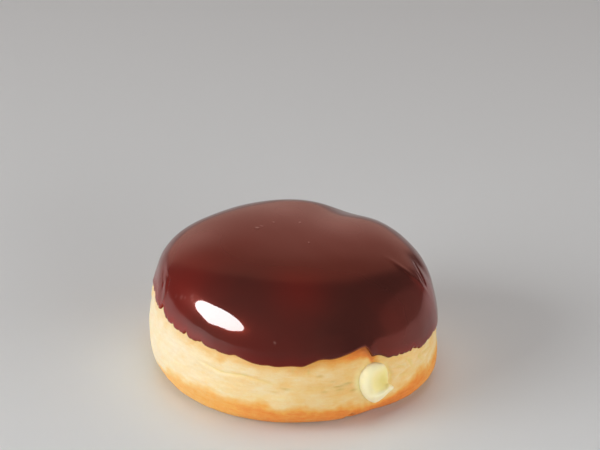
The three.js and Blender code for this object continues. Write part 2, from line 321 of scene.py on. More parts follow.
def vertices(piece):
    """The piece's points, one row each."""
    points = np.empty(len(piece.data.vertices) * 3)
    piece.data.vertices.foreach_get("co", points)
    return points.reshape(-1, 3)


def set_attribute(piece, name, values):
    """Gives each point of the piece a number that its material reads by this name."""
    attribute = piece.data.attributes.new(name, "FLOAT", "POINT")
    attribute.data.foreach_set("value", np.ascontiguousarray(values, dtype=np.float32))


# The bun's axis in the frame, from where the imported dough's box puts it.
bun_samples = bun_points(np.linspace(-1, 1, 161)[:, None], azimuths(360)[None]).reshape(-1, 3)
bun_middle = (bun_samples.min(axis=0) + bun_samples.max(axis=0)) / 2
box_low, box_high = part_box("dough")
box_middle = np.array(((box_low[0] + box_high[0]) / 2, (box_low[1] + box_high[1]) / 2, 0))
AXIS = box_middle - bun_middle * (MM, MM, 0)


def make_piece(piece, node, material):
    piece.data.transform(Matrix.Translation(Vector(AXIS)) @ Matrix.Scale(MM, 4))
    piece.data.polygons.foreach_set("use_smooth", np.ones(len(piece.data.polygons), dtype=bool))
    piece.data.materials.clear()
    piece.data.materials.append(material)
    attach(piece, "root")
    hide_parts(node)


# ---- dough ----
DOUGH_COLUMNS = 640
HIDDEN_RINGS = 24  # of the dough under the icing
SIDE_RINGS = 150  # of the side that shows
BASE_RINGS = 10
SIDE_TOP = 31.0  # height at which the fine rings start

WRINKLES = ((0.08, 14, 1, 2.5), (0.022, 4, 2, 2.5), (0.014, 1.6, 3, 1.5))  # height, wavelength, seed, flat
CREASES = (
    (((-129, 18.9), (-123, 18.6), (-118, 17.9), (-108, 18.7), (-100, 17.7), (-95, 16.8)), 0.5, -0.36),
    (((-92, 15.9), (-84, 15.2), (-77, 15.6)), 0.4, -0.12),
    (((-150, 15.0), (-138, 14.2), (-126, 14.6)), 0.8, -0.1),
    (((-112, 13.2), (-98, 12.4), (-84, 13.2)), 0.8, -0.12),
    (((-84, 16.8), (-77, 16.2), (-72, 16.4)), 0.5, -0.16),
    (((-82, 12.0), (-72, 11.2), (-64, 11.8)), 0.6, -0.12),
    (((-50.5, 20.6), (-48.8, 18.1), (-47.2, 15.5), (-47.6, 12.4)), 0.5, -0.6),
    (((-46.5, 20.2), (-45.0, 17.6), (-44.5, 13.5)), 1.0, 0.3),
    (((-46.4, 17.4), (-43, 17.0), (-39, 15.8)), 0.4, -0.55),
    (((-40, 19.4), (-37, 17.6), (-35.4, 15.8), (-33.0, 13.4)), 0.45, -0.5),
    (((-44, 14.0), (-39, 13.2), (-34, 11.6)), 0.5, -0.3),
    (((-30, 17.4), (-28.6, 15.4), (-24.6, 13.4)), 0.4, -0.45),
    (((-27, 16.6), (-22, 15.8), (-18, 15.4)), 0.4, -0.35),
    (((-34, 13.0), (-25, 12.6), (-16, 13.8)), 0.7, -0.15),
    (((20, 17.0), (42, 15.0), (66, 17.0)), 0.6, -0.4),
    (((84, 14.2), (104, 15.4), (126, 14.0)), 0.6, -0.4),
    (((140, 18.0), (156, 16.0), (172, 17.4)), 0.5, -0.35),
)  # route as azimuth and height, half width, how far out

PITS = (
    (-91.6, 15.9, 1.3, 0.35, -0.4),
    (-96.0, 14.4, 1.2, 0.35, -0.2),
    (-83.2, 22.0, 0.35, 0.9, -0.25),
    (-89.2, 22.3, 0.35, 0.8, -0.2),
    (-78.8, 20.3, 1.0, 0.35, -0.4),
    (-74, 18.2, 1.0, 0.35, -0.25),
    (-71.0, 16.1, 1.6, 0.35, -0.5),
    (-67.4, 16.7, 1.5, 0.35, -0.5),
    (-70.6, 15.0, 1.4, 0.3, -0.4),
    (-64.8, 13.9, 1.0, 0.35, -0.4),
    (-76.6, 14.8, 0.9, 0.35, -0.3),
)  # azimuth, height, half width, half height, how far out
BASE_DENTS = ((-63.5, 2.6, 1.0, 2.0, -1.5), (-50, 1.8, 8, 2.2, -0.8))
BASE_SHADE = ((-63.5, 3.0, 1.1, 1.5, 0.8),)  # painted shade, a darker brown, in the first of those dents
COLLAR_SHADE = 0.5  # share of the collar's brown that is painted over in darker brown, as painted shade under the icing's edge
CAVITY_DEPTH = 0.5  # at which a crease or pit has its full painted shade
CAVITY_TONE = 0.7  # how strong that painted shade is
PIT_DEPTH = 0.4  # at which a large pit's extra painted shade is full
PIT_TONE = 0.3  # how strongly that painted shade darkens it

SMALL_PITS = 170  # scattered round the side
SMALL_PIT_HEIGHTS = (5, 25)  # above the table
SMALL_PIT_HALF_WIDTHS = (0.4, 1.2)
SMALL_PIT_HALF_HEIGHTS = (0.22, 0.4)
SMALL_PIT_DEPTHS = (0.05, 0.2)
SMOOTH_SIDE = (-180, -95)  # azimuths between which the small pits are faint
FAINTNESS = 0.3
# How brown the pale side is by azimuth: creamy at the left, yellower at the front, warmer at the right.
BAKE = (
    (-180, 0.0), (-140, 0.04), (-118, 0.13), (-95, 0.18), (-78, 0.24), (-66, 0.3), (-48, 0.25), (-20, 0.22),
    (60, 0.2), (180, 0.0),
)
# Height of the top of the browned foot, by azimuth.
BAND_TOP = (
    (-180, 3.0), (-165, 3.8), (-150, 8.4), (-139, 10.4), (-122, 10.9), (-102, 11.1), (-94, 10.4),
    (-78, 9.6), (-65, 9.8), (-58, 9.0), (-50, 8.8), (-40, 10.2), (-28, 11.6), (-14, 12.0), (-4, 11.4),
    (18, 9.0), (52, 11.4), (90, 8.2), (128, 11.0), (158, 7.4), (180, 3.0),
)
# How brown that foot is, by azimuth.
FOOT_TONE = (
    (-180, 0.44), (-140, 0.43), (-120, 0.5), (-100, 0.6), (-62, 0.64), (-46, 0.74), (-20, 0.57), (60, 0.6),
    (180, 0.44),
)
# How brown the dough is just under the icing, by azimuth.
COLLAR = (
    (-180, 0.1), (-150, 0.14), (-118, 0.22), (-98, 0.15), (-84, 0.22), (-72, 0.28), (-65, 0.36), (-61, 0.6),
    (-57, 0.45), (-53, 0.05), (-20, 0.0), (0, 0.05), (60, 0.3), (120, 0.25), (180, 0.1),
)
COLLAR_SPOT = (-61.0, 25.6, 2.2, 1.3, 0.3)  # azimuth, height, half width in degrees, half height, how brown


def small_pits(seed=5):
    """A table of pits for spots()."""
    random = np.random.default_rng(seed)
    table = []
    for _ in range(SMALL_PITS):
        degrees = random.uniform(-180, 180)
        share = FAINTNESS if SMOOTH_SIDE[0] < degrees < SMOOTH_SIDE[1] else 1
        height = random.uniform(*SMALL_PIT_HEIGHTS)
        wide = random.uniform(*SMALL_PIT_HALF_WIDTHS)
        high = random.uniform(*SMALL_PIT_HALF_HEIGHTS)
        table.append((degrees, height, wide, high, -share * random.uniform(*SMALL_PIT_DEPTHS)))
    return table


def marks(points):
    """The relief of the dough's creases and pits."""
    return routes(points, CREASES) + spots(points, PITS) + spots(points, small_pits())


def dough_relief(points):
    """How far the wrinkles, the crumb, the creases and the pits move the dough's skin."""
    side = smoothstep(points[..., 2], 0.6, 3)
    wrinkles = sum(size * ripples(points, length, seed, flat) for size, length, seed, flat in WRINKLES)
    return side * (wrinkles + marks(points)) + spots(points, BASE_DENTS)


def dough_skin():
    """Points and faces of the bun, in rings down its side and in over its base."""
    columns = azimuths(DOUGH_COLUMNS)[None]
    top = arc_at_level(level_at_height(SIDE_TOP, -np.pi / 2))
    hidden = np.linspace(0, top, HIDDEN_RINGS, endpoint=False)[1:]
    arcs = np.concatenate([hidden, np.linspace(top, ARC[-1], SIDE_RINGS)])
    level = level_at_arc(arcs)[:, None]
    smooth = smooth_bun(level, columns)
    side = bun_points(level, columns, dough_relief(smooth))
    rim = side[-1]
    rim[:, 2] = 0
    base = [rim * (1 - ring / BASE_RINGS) for ring in range(1, BASE_RINGS)]
    crown = bun_points(np.array([1.0]), np.array([0.0]))[0]
    return closed_rings(crown, np.concatenate([side, base]), np.zeros(3))


def collar_tone(points):
    """How brown the dough is just under the icing, from 0, pale, to 1."""
    degrees = azimuth_degrees(points)
    under = edge_height(degrees) - points[:, 2] + 0.4 * ripples(points, 4, seed=13)
    collar = by_azimuth(degrees, COLLAR) * smoothstep(under, 3.6, 0.2)
    azimuth, height, wide, high, tone = COLLAR_SPOT
    return collar + tone * bell(wrap(degrees - azimuth), wide) * bell(points[:, 2] - height, high)


def cavity_shading(points):
    """Painted shade in the creases and pits, from 0 to 1 by how deep the dough lies in them, and in the
    large pits alone.
    """
    azimuth = np.arctan2(points[:, 1], points[:, 0])
    smooth = smooth_bun(level_at_height(points[:, 2], azimuth), azimuth)
    cavity_shade = np.clip(-marks(smooth) / CAVITY_DEPTH, 0, 1)
    pit_shade = np.clip(-spots(smooth, PITS) / PIT_DEPTH, 0, 1)
    return cavity_shade, pit_shade


def toast(points):
    """How brown the dough is at points of its skin, from 0, pale, to 1."""
    degrees = azimuth_degrees(points)
    height = points[:, 2] + 0.6 * ripples(points, 9, seed=11) + 0.2 * ripples(points, 2.6, seed=12)
    bake = by_azimuth(degrees, BAKE) + 0.025 * ripples(points, 8, seed=14, flat=1.6)
    deep = by_azimuth(degrees, FOOT_TONE) - 0.1 * smoothstep(points[:, 2], 2.5, 0.3)
    foot = smoothstep(by_azimuth(degrees, BAND_TOP) - height, -2.4, 3.8) * deep
    return np.clip(np.maximum(bake, foot) + collar_tone(points), 0, 1)


# ---- icing ----
ICING_COLUMNS = 900
ICING_RINGS = 100
ICING_INNER_RINGS = 14
EDGE_STEPS = (6, 4.6, 3.5, 2.6, 1.9, 1.35, 0.95, 0.62, 0.36, 0.16, 0.04)  # up from the lower edge
THIN_REACH = 4.5  # height above the edge over which the icing thins and reddens
# Painted red glow of the lamps' light round the highlight, on the left, low at the front, on the crown and
# at the right, and one painted shade low at the front right, the negative one: azimuth, height, half width,
# how much.
GLOW_AND_SHADE_TINTS = (
    (-150, 34, 14, 0.45), (-172, 30, 9, 0.3), (-112, 30, 8, 0.12), (-97, 28, 11, 0.12), (-66, 27, 9, -0.25),
    (-88, 41, 9, 0.3), (-8, 28, 9, 0.4),
)
PLAIN_TINT = 0.22
WET_PLACE = (-121.5, 34.4)  # azimuth and height of the middle of the wettest part
WET_SIZE = (27, 12.5)  # half width and half height of that part
SET_WETNESS = 0.13  # where the icing has set to a satin skin
DULL_COAT = 0.85  # share of the clear gloss that is lost where the icing is dull
DULL_AZIMUTHS = (-93, 27)  # middle and half width of the duller lower edge at the front
DULL_HEIGHTS = (33, 27)  # over which it grows dull
UNDERCUT = (0.02, 0.4)  # how far down the skin faces where it grows dull

# How red the icing's thin edge is, by azimuth: the red of thin icing, made stronger on the lit left as a
# painted red glow and weaker at the front right as painted shade.
EDGE_RED = (
    (-180, 0.8), (-150, 0.7), (-118, 0.15), (-84, 0.2), (-74, 0.05), (-60, 0.05), (-45, 0.25), (-20, 0.5),
    (60, 0.6), (180, 0.8),
)

# How brown the very edge is, where the dough shines through, by azimuth.
EDGE_BROWN = ((-180, 0.15), (-132, 0.2), (-114, 0.55), (-62, 0.55), (-54, 0.2), (180, 0.15))

# Frays of the lower edge: from and to azimuth, how far they reach up, their width along the edge.
FRAYS = (
    (-178, -120, 0.75, 0.8), (-178, -104, 0.5, 2.6), (-104, -70, 0.2, 2.0), (-50, -8, 0.6, 0.8),
    (-47, -8, 0.6, 2.1), (-8, 180, 0.45, 1.4),
)
NOTCHES = ((-155.2, 2.0, 2.4), (-136.4, 1.0, 1.3), (-112.0, 1.4, 0.3), (-34.0, 1.2, 0.4), (-23.0, 0.9, 0.5))
FOLDS = (
    (((-12.6, 40.4), (-13.6, 38.4), (-14.0, 36.4), (-12.6, 33.6), (-10.4, 30.0)), 1.3, 0.2),
    (((1.5, 36.0), (-4.6, 34.0), (-9.4, 31.6)), 0.55, -0.45),
    (((-7.0, 35.4), (-9.6, 33.6), (-11.0, 31.8)), 0.4, -0.15),
    (((-173.8, 34.6), (-166, 34.4), (-160, 34.3), (-155.6, 31.0)), 0.9, -0.16),
    (((-170, 34.0), (-163, 32.8), (-158.4, 29.6)), 0.8, -0.2),
    (((-175, 32.6), (-166, 30.5), (-160.2, 27.6)), 1.0, 0.14),
    (((-161, 34.0), (-157.6, 32.0), (-155.2, 28.4)), 0.9, 0.13),
)  # route as azimuth and height, half width, how far out
BUBBLES = (
    (-12.3, 2.0, 0.55, 0.14),
    (-11.0, 3.4, 0.4, 0.06),
    (-7.3, 6.6, 0.35, 0.08),
    (1.0, 7.6, 0.4, 0.08),
    (4.0, -6.0, 0.3, 0.06),
)  # place on the bun's axis seen from above, half width, how far out
BUBBLE_GLINT = 0.6  # how pale the painted highlight over those bubbles is
# Painted sheen on the crown, in pale patches: place seen from above, half width, how pale.
SHEEN_PATCHES = ((14, 11, 9, 0.22), (-4, 19, 9, 0.2), (-31, 0, 8, 0.15))
CROWN_HEIGHTS = (30, 31)  # between which the crown's painted sheen and painted highlights begin
SIDE_BUBBLES = (
    (-96.5, 30.4, 0.3, 0.3, 0.07),
    (-148.4, 32.9, 0.5, 0.25, 0.015),
    (-145.0, 33.6, 0.6, 0.25, 0.03),
    (-142.9, 34.0, 0.4, 0.2, 0.02),
    (-139.6, 35.1, 0.6, 0.25, 0.03),
    (-138.4, 34.5, 0.5, 0.2, 0.02),
    (-136.6, 34.0, 0.4, 0.2, 0.02),
)  # azimuth, height, half width, half height, how far out
SIDE_GLINT = 4.5  # how pale their painted highlight is for each millimetre that they stand out


def fray(degrees, length, seed):
    """Uneven teeth of about this length along the edge, from 0 to 1."""
    random = np.random.default_rng(seed)
    count = int(2 * math.pi * BUN_RADIUS / length)
    heights = random.uniform(0, 1, count) ** 2
    place = (degrees % 360) / 360 * count
    index = np.floor(place).astype(int) % count
    share = (place - np.floor(place)) ** 1.5
    return heights[index] * (1 - share) + heights[(index + 1) % count] * share


def edge_height(degrees):
    """Height of the icing's lower edge, without its frays."""
    table = np.array(ICING_EDGE + ((180, ICING_EDGE[0][1]),), float)
    degrees = wrap(degrees)
    index = np.clip(np.searchsorted(table[:, 0], degrees, side="right") - 1, 0, len(table) - 2)
    start, end = table[index], table[index + 1]
    share = (degrees - start[..., 0]) / (end[..., 0] - start[..., 0])
    share = share**3 * (share * (share * 6 - 15) + 10)
    height = start[..., 1] + (end[..., 1] - start[..., 1]) * share
    return height + sum(size * np.sin(n * np.radians(degrees) + phase) for n, size, phase in EDGE_RIPPLES)


def frayed_edge(degrees):
    """Height of the icing's lower edge with its frays and notches."""
    height = edge_height(degrees)
    degrees = wrap(degrees)
    for seed, (start, end, reach, length) in enumerate(FRAYS):
        inside = smoothstep(degrees, start - 4, start + 4) * smoothstep(degrees, end + 4, end - 4)
        height += reach * inside * fray(degrees, length, 40 + seed)
    for place, width, reach in NOTCHES:
        height += reach * bell(wrap(degrees - place), width)
    return height


def icing_standoff(distance, even_distance):
    """How far the outer face stands off the bun.

    The first distance is up from the ring at the frayed edge, the second from the edge without frays.
    """
    rounded = np.sqrt(1 - (1 - np.minimum(distance / ICING_BEAD, 1)) ** 2)
    thinner, reach = ICING_TAPER
    return ICING_STANDOFF * (1 - thinner * smoothstep(even_distance, reach, 0)) * rounded


def icing_relief(points, distance):
    """How far waves, bubbles and folds move the icing's skin at this distance up from its edge."""
    calm = smoothstep(distance, 0.5, 5)
    relief = calm * (0.05 * ripples(points, 26, seed=21) + 0.006 * ripples(points, 8, seed=22))
    near_edge = smoothstep(distance, 0.3, 3) * smoothstep(distance, 16, 7)
    relief += near_edge * 0.035 * ripples(points, 9, seed=23)
    for x, y, wide, proud in BUBBLES:
        relief += proud * bell(np.hypot(points[..., 0] - x, points[..., 1] - y), wide)
    return relief + routes(points, FOLDS) + spots(points, SIDE_BUBBLES)


def icing_skin():
    """Points and faces of the icing, and how thin it is at each point, from 0 to 1 at the lower edge."""
    columns = azimuths(ICING_COLUMNS)
    even = arc_at_level(level_at_height(edge_height(np.degrees(columns)), columns))
    frayed = arc_at_level(level_at_height(frayed_edge(np.degrees(columns)), columns))
    shares = np.arange(1, ICING_RINGS) / ICING_RINGS
    upper = (even - EDGE_STEPS[0])[None] * shares[:, None]
    steps = np.array(EDGE_STEPS)[:, None]
    fraying = smoothstep(steps, EDGE_STEPS[0], 0)
    arcs = np.concatenate([upper, even + (frayed - even) * fraying - steps])
    distance = np.concatenate([even - upper, np.repeat(steps, ICING_COLUMNS, axis=1)])
    level = level_at_arc(arcs)
    relief = icing_relief(smooth_bun(level, columns[None]), distance)
    outer = bun_points(level, columns[None], icing_standoff(distance, np.maximum(even - arcs, 0)) + relief)
    inner_arcs = frayed[None] * (1 - np.arange(0, ICING_INNER_RINGS) / ICING_INNER_RINGS)[:, None]
    inner = bun_points(level_at_arc(inner_arcs), columns[None], ICING_INNER)
    crown = np.array([1.0])
    top = bun_points(crown, np.array([0.0]), ICING_STANDOFF)[0]
    bottom = bun_points(crown, np.array([0.0]), ICING_INNER)[0]
    thin = np.zeros(2 + (len(outer) + len(inner)) * ICING_COLUMNS)
    thin[1 : 1 + distance.size] = smoothstep(distance, THIN_REACH, 0).ravel()
    return *closed_rings(top, np.concatenate([outer, inner]), bottom), thin


def wetness(points):
    """How much clear gloss lies on the icing, from 0 to 1."""
    return SET_WETNESS + (1 - SET_WETNESS) * spots(points, ((*WET_PLACE, *WET_SIZE, 1),))


def dullness(cap, points):
    """How much of its gloss the icing has lost, low down at the front and under its rounded edge."""
    middle, wide = DULL_AZIMUTHS
    front = bell(wrap(azimuth_degrees(points) - middle), wide) * smoothstep(points[:, 2], *DULL_HEIGHTS)
    down = np.array([-vertex.normal.z for vertex in cap.data.vertices])
    return np.maximum(front, smoothstep(down, *UNDERCUT))


def redness(points, thin):
    """How far the icing's colour goes from dark brown, 0, to red, 1: the red of its thin edge, with a
    painted red glow and painted shade added.
    """
    tone = PLAIN_TINT + by_azimuth(azimuth_degrees(points), EDGE_RED) * thin
    for azimuth, height, wide, much in GLOW_AND_SHADE_TINTS:
        tone += much * bell(np.linalg.norm(points - bun_place(azimuth, height), axis=1), wide)
    return np.clip(tone, 0, 1)


def fringe(points, thin):
    """How brown the last half millimetre above the lower edge is, from 0 to 1."""
    return by_azimuth(azimuth_degrees(points), EDGE_BROWN) * smoothstep(thin, 0.95, 0.995)


def painted_glints(points):
    """Painted highlights over the icing's air bubbles and painted sheen on its crown, from 0 to 1."""
    pale = np.zeros(len(points))
    for x, y, wide, _ in BUBBLES:
        pale += BUBBLE_GLINT * bell(np.hypot(points[:, 0] - x, points[:, 1] - y), 0.8 * wide)
    for x, y, wide, tone in SHEEN_PATCHES:
        pale += tone * bell(np.hypot(points[:, 0] - x, points[:, 1] - y), wide)
    pale *= smoothstep(points[:, 2], *CROWN_HEIGHTS)
    for azimuth, height, wide, _, proud in SIDE_BUBBLES:
        away = np.linalg.norm(points - bun_place(azimuth, height, ICING_STANDOFF), axis=1)
        pale += SIDE_GLINT * proud * bell(away, wide)
    return np.clip(pale, 0, 1)


# ---- custard ----
DOLLOP_COLUMNS = 160
DOLLOP_RINGS = 96
POCKET_COLUMNS = 72
POCKET_RINGS = 32
CHANNEL_COLUMNS = 48
CHANNEL_RINGS = 6
CORNER_SPREAD = 5  # degrees over which the corners of the dollop's outline are rounded off
# Forms of the dollop's face: place right and up, slope in degrees, half length, half width.
HOLLOW = (1.9, 0.8, 78, 3.3, 2.6)
HOLLOW_DEPTH = 0.72  # share of the bulge
HOLLOW_SPREAD = 0.7  # power by which its painted shade spreads
LIP = (2.5, -2.95, 29, 3.6, 0.95)
LIP_HEIGHT = 1.7
RIM = (4.1, 0.9, 84, 2.6, 0.6)
RIM_HEIGHT = 0.7
SMEAR_SIDE = (178, 42)  # angle and reach of the side where custard is smeared on the dough
SMEAR_WIDTH = (2.3, 0.1)  # distances beyond the outline over which it thickens
SMEAR_DEPTH = (-6, -3)  # and how far in from the hole's mouth

hole_azimuth = math.radians(HOLE_AZIMUTH)
hole_out = np.array((math.cos(hole_azimuth), math.sin(hole_azimuth), 0))
hole_side = np.array((-math.sin(hole_azimuth), math.cos(hole_azimuth), 0))
hole_point = bun_points(level_at_height(HOLE_HEIGHT, hole_azimuth)[None], np.array([hole_azimuth]))[0]
face_elevation = math.radians(FACE_ELEVATION)
face_out = np.array((0, -math.cos(face_elevation), math.sin(face_elevation)))
face_side = np.array((1.0, 0, 0))
face_up = np.array((0, math.sin(face_elevation), math.cos(face_elevation)))


def polar_angles(count):
    """Angles from just after 0 to just before half a turn, one a row."""
    return np.pi * np.arange(1, count)[:, None] / count


def outline_radius(turn):
    """Radius of the dollop's outline at these angles, its corners rounded off."""
    degrees = np.degrees(turn)[..., None] + np.linspace(-CORNER_SPREAD, CORNER_SPREAD, 11)
    return np.interp(degrees, *zip(*DOLLOP_OUTLINE), period=360).mean(axis=-1)


def face_form(side, up, form):
    """A long soft form on the dollop's face, 1 in its middle."""
    at_side, at_up, slope, half_length, half_width = form
    slope = math.radians(slope)
    along = (side - at_side) * math.cos(slope) + (up - at_up) * math.sin(slope)
    across = (up - at_up) * math.cos(slope) - (side - at_side) * math.sin(slope)
    return bell(along, half_length) * bell(across, half_width)


def dollop(grow):
    """The dollop: a dome over its outline, which lies in the bun's skin, and a rounded root in the hole."""

    def points(polar, turn):
        polar, turn = np.broadcast_arrays(polar, turn)
        reach = np.sin(polar) * (outline_radius(turn) + grow)
        side, up = reach * np.cos(turn), reach * np.sin(turn)
        flat = side[..., None] * face_side + up[..., None] * face_up
        # Each point slides along the view until it lies in the bun's skin.
        facing = face_out @ hole_out
        slide = -(flat @ hole_out) / facing
        across = flat @ hole_side + slide * (face_out @ hole_side)
        slide = slide - across**2 / (2 * BUN_RADIUS) / facing - DOLLOP_SINK
        front, back = np.maximum(np.cos(polar), 0), np.maximum(-np.cos(polar), 0)
        angle, spread, extra = SOFT_SIDE
        dome = front ** (1 + extra * bell(wrap(np.degrees(turn) - angle), spread))
        edges = LIP_HEIGHT * face_form(side, up, LIP) + RIM_HEIGHT * face_form(side, up, RIM)
        rise = dome * (DOLLOP_BULGE + grow) * (1 - HOLLOW_DEPTH * face_form(side, up, HOLLOW))
        rise = rise + edges * smoothstep(back, 0.4, 0)
        root = back * (DOLLOP_ROOT + grow)
        return hole_point + flat + (slide + rise)[..., None] * face_out - root[..., None] * hole_out

    rings = points(polar_angles(DOLLOP_RINGS), azimuths(DOLLOP_COLUMNS)[None])
    ends = points(np.array([0, np.pi]), np.array([0.0, 0.0]))
    return plain_mesh("dollop", *closed_rings(ends[0], rings, ends[1]))


def pocket(grow):
    """The flat round pocket of filling in the middle of the bun."""
    polar = polar_angles(POCKET_RINGS)
    turn = azimuths(POCKET_COLUMNS)[None]
    half = np.array(POCKET_SIZE) + grow
    middle = np.array((0, 0, POCKET_HEIGHT))
    x, y = np.sin(polar) * np.cos(turn), np.sin(polar) * np.sin(turn)
    ring = np.stack(np.broadcast_arrays(x, y, np.cos(polar)), axis=-1)
    pole = half * (0, 0, 1)
    return plain_mesh("pocket", *closed_rings(middle + pole, middle + ring * half, middle - pole))


def channel(grow):
    """A round plug from inside the pocket to the hole."""
    start = np.array((0, 0, POCKET_HEIGHT)) + hole_out * POCKET_SIZE[0] / 2
    line = hole_point - start
    sideways = unit(np.cross(line, (0, 0, 1)))
    upwards = unit(np.cross(sideways, line))
    turn = azimuths(CHANNEL_COLUMNS)[:, None]
    circle = (np.cos(turn) * sideways + np.sin(turn) * upwards) * (CHANNEL_RADIUS + grow)
    rings = np.stack([hole_point - line * share + circle for share in np.linspace(0, 1, CHANNEL_RINGS)])
    return plain_mesh("channel", *closed_rings(hole_point, rings, start))


def hollow_shading(points):
    """Painted shade in the dollop's hollow, from 0 to 1 by how deep in it the custard is. Its lip, which
    stands out of the hollow, is left unshaded.
    """
    away = points - hole_point
    side, up = away @ face_side, away @ face_up
    return np.clip(face_form(side, up, HOLLOW) - 0.8 * face_form(side, up, LIP), 0, 1)


def custard_smear(points):
    """Where a thin smear of custard lies on the dough beside the dollop, from 0 to 1."""
    away = points - hole_point
    side, up = away @ face_side, away @ face_up
    turn = np.arctan2(up, side)
    beyond = np.hypot(side, up) - outline_radius(turn)
    angle, spread = SMEAR_SIDE
    left = bell(wrap(np.degrees(turn) - angle), spread)
    return left * smoothstep(beyond, *SMEAR_WIDTH) * smoothstep(away @ hole_out, *SMEAR_DEPTH)


def custard_body(grow):
    """All the custard in one piece, grown all round by this much."""
    body = boolean(dollop(grow), channel(grow), "UNION")
    return boolean(body, pocket(grow), "UNION")


# ---- materials ----
def new_material(name, **values):
    """A material with these values on its shader's sockets, its node tree and that shader."""
    material = bpy.data.materials.new(name)
    material.use_nodes = True
    tree = material.node_tree
    shader = tree.nodes["Principled BSDF"]
    for socket, value in values.items():
        shader.inputs[socket.replace("_", " ")].default_value = value
    return material, tree, shader


def add(tree, kind, **values):
    """A new node with these settings and socket values."""
    node = tree.nodes.new(kind)
    for name, value in values.items():
        if hasattr(node, name):
            setattr(node, name, value)
        else:
            node.inputs[name.replace("_", " ")].default_value = value
    return node


def attribute(tree, name):
    return add(tree, "ShaderNodeAttribute", attribute_name=name).outputs["Fac"]


def noise(tree, coordinates, scale, detail, roughness=0.5, stretch=(1, 1, 1)):
    """A noise field from 0 to 1, its patches made finer along each axis by stretch."""
    mapping = add(tree, "ShaderNodeMapping")
    mapping.inputs["Scale"].default_value = [scale * share for share in stretch]
    tree.links.new(coordinates, mapping.inputs["Vector"])
    texture = add(tree, "ShaderNodeTexNoise", Scale=1.0, Detail=detail, Roughness=roughness)
    tree.links.new(mapping.outputs["Vector"], texture.inputs["Vector"])
    return texture.outputs["Fac"]


def math_node(tree, operation, first, second):
    node = add(tree, "ShaderNodeMath", operation=operation)
    for socket, value in zip(node.inputs, (first, second)):
        if isinstance(value, (int, float)):
            socket.default_value = value
        else:
            tree.links.new(value, socket)
    return node.outputs["Value"]


def swing(tree, field, size):
    """A noise field turned into one that swings about 0 by this much in all."""
    return math_node(tree, "MULTIPLY", math_node(tree, "SUBTRACT", field, 0.5), size)


def ramp(tree, factor, stops):
    """The colour at this factor between stops of position and colour."""
    node = add(tree, "ShaderNodeValToRGB")
    elements = node.color_ramp.elements
    while len(elements) < len(stops):
        elements.new(1.0)
    for element, (position, colour) in zip(elements, stops):
        element.position = position
        element.color = (*colour, 1)
    tree.links.new(factor, node.inputs["Fac"])
    return node.outputs["Color"]


def mix_colour(tree, share, colour, other):
    """The colour, or the other one as far as share says."""
    node = add(tree, "ShaderNodeMix", data_type="RGBA")
    factor, first, second = (node.inputs[i] for i in (0, 6, 7))
    tree.links.new(share, factor)
    tree.links.new(colour, first)
    second.default_value = (*other, 1)
    return node.outputs[2]


def uneven_roughness(tree, shader, field, least, most):
    gloss = ramp(tree, field, ((0.3, (least,) * 3), (0.7, (most,) * 3)))
    tree.links.new(gloss, shader.inputs["Roughness"])


def bump(tree, shader, height, strength, distance):
    node = add(tree, "ShaderNodeBump", Strength=strength, Distance=distance)
    tree.links.new(height, node.inputs["Height"])
    tree.links.new(node.outputs["Normal"], shader.inputs["Normal"])


DOUGH_COLOURS = (
    (0.0, (0.85, 0.72, 0.49)),
    (0.15, (0.84, 0.64, 0.33)),
    (0.3, (0.83, 0.54, 0.20)),
    (0.5, (0.82, 0.395, 0.078)),
    (0.65, (0.80, 0.25, 0.035)),
    (0.8, (0.66, 0.17, 0.022)),
    (1.0, (0.40, 0.09, 0.015)),
)  # from pale to brown
# Attributes of the dough and the colours that they mix in: painted shade under the icing's edge and in a
# dent at the foot, painted shade in the creases and pits, and a smear of custard.
DOUGH_MARKS = (
    ("painted_shade", (0.50, 0.19, 0.055)),
    ("cavity_shade", (0.80, 0.60, 0.19)),
    ("pit_shade", (0.44, 0.26, 0.08)),
    ("smear", (0.91, 0.76, 0.36)),
)
ICING_COLOURS = (
    (0.0, (0.040, 0.0140, 0.0120)),
    (0.22, (0.070, 0.0190, 0.0150)),
    (1.0, (0.22, 0.0160, 0.0120)),
)  # from dark brown to the red of a thin edge, which also paints the red glow of the lamps' light
# The second mark paints pale highlights on the bubbles and a pale sheen on the crown.
ICING_MARKS = (("fringe", (0.40, 0.115, 0.035)), ("painted_glints", (0.5, 0.3, 0.26)))
CUSTARD_COLOURS = (
    (0.0, (0.96, 0.86, 0.56)),
    (0.5, (0.92, 0.79, 0.36)),
    (1.0, (0.82, 0.69, 0.24)),
)  # from its face to the painted shade at the bottom of its hollow


def dough_material():
    material, tree, shader = new_material(
        "baked_dough",
        Subsurface_Weight=0.25,
        Subsurface_Radius=(1.0, 0.55, 0.25),
        Subsurface_Scale=0.0025,
    )
    place = add(tree, "ShaderNodeTexCoord").outputs["Object"]
    mottle = noise(tree, place, 420, detail=5, roughness=0.6, stretch=(1, 1, 1.5))
    fine = noise(tree, place, 1500, detail=3, roughness=0.6, stretch=(1, 1, 1.6))
    wisps = noise(tree, place, 260, detail=4, roughness=0.65, stretch=(1, 1, 5))
    brown = math_node(tree, "ADD", attribute(tree, "toast"), swing(tree, mottle, 0.2))
    grain = math_node(tree, "ADD", swing(tree, fine, 0.1), swing(tree, wisps, 0.22))
    colour = ramp(tree, math_node(tree, "ADD", brown, grain), DOUGH_COLOURS)
    for name, other in DOUGH_MARKS:
        colour = mix_colour(tree, attribute(tree, name), colour, other)
    tree.links.new(colour, shader.inputs["Base Color"])
    uneven_roughness(tree, shader, mottle, 0.5, 0.72)
    bump(tree, shader, math_node(tree, "ADD", fine, mottle), 0.2, 0.0003)
    return material


